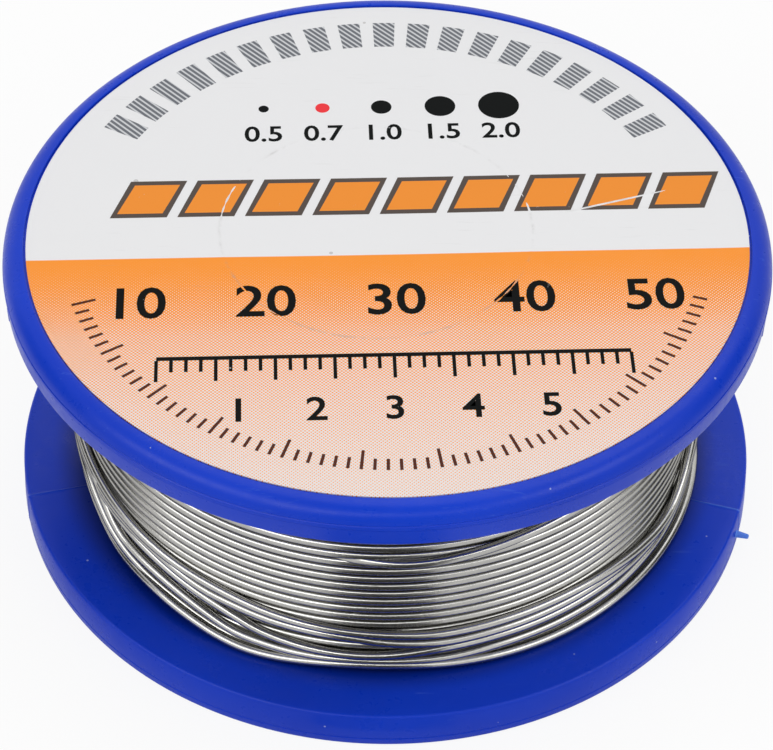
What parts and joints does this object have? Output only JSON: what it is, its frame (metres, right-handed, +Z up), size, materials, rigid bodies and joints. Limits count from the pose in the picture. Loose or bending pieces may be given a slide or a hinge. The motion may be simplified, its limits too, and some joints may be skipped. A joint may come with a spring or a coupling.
{
  "type": "solder wire spool",
  "caption": "Reel of thin solder wire: a moulded spool with two round flanges, wire wound tightly between them, a round paper label on the upper flange and an open hub bore underneath.",
  "frame": {"origin": "centre of the ring that the spool stands on, on its axis", "axes": "+Z up along the spool's axis, through the label; -Y towards the viewer of the picture"},
  "size_m": [0.054, 0.054, 0.0236],
  "materials": {
    "spool_plastic": "semi-gloss moulded polystyrene, blue",
    "label_paper": "coated label paper, pale grey over an orange field that fades downwards in a fine halftone",
    "solder": "drawn tin-lead solder wire, satin bright grey",
    "rosin_flux": "clear amber rosin"
  },
  "bodies": {
    "root": {"spool_body": "spool_plastic", "face_label": "label_paper", "wire_inner_layers": "solder", "wire_outer_layer": "solder", "wire_loose_turns": "solder", "wire_cut_end": "solder", "wire_flux_cores": "rosin_flux", "wire_start_end": "solder"}
  },
  "joints": []
}
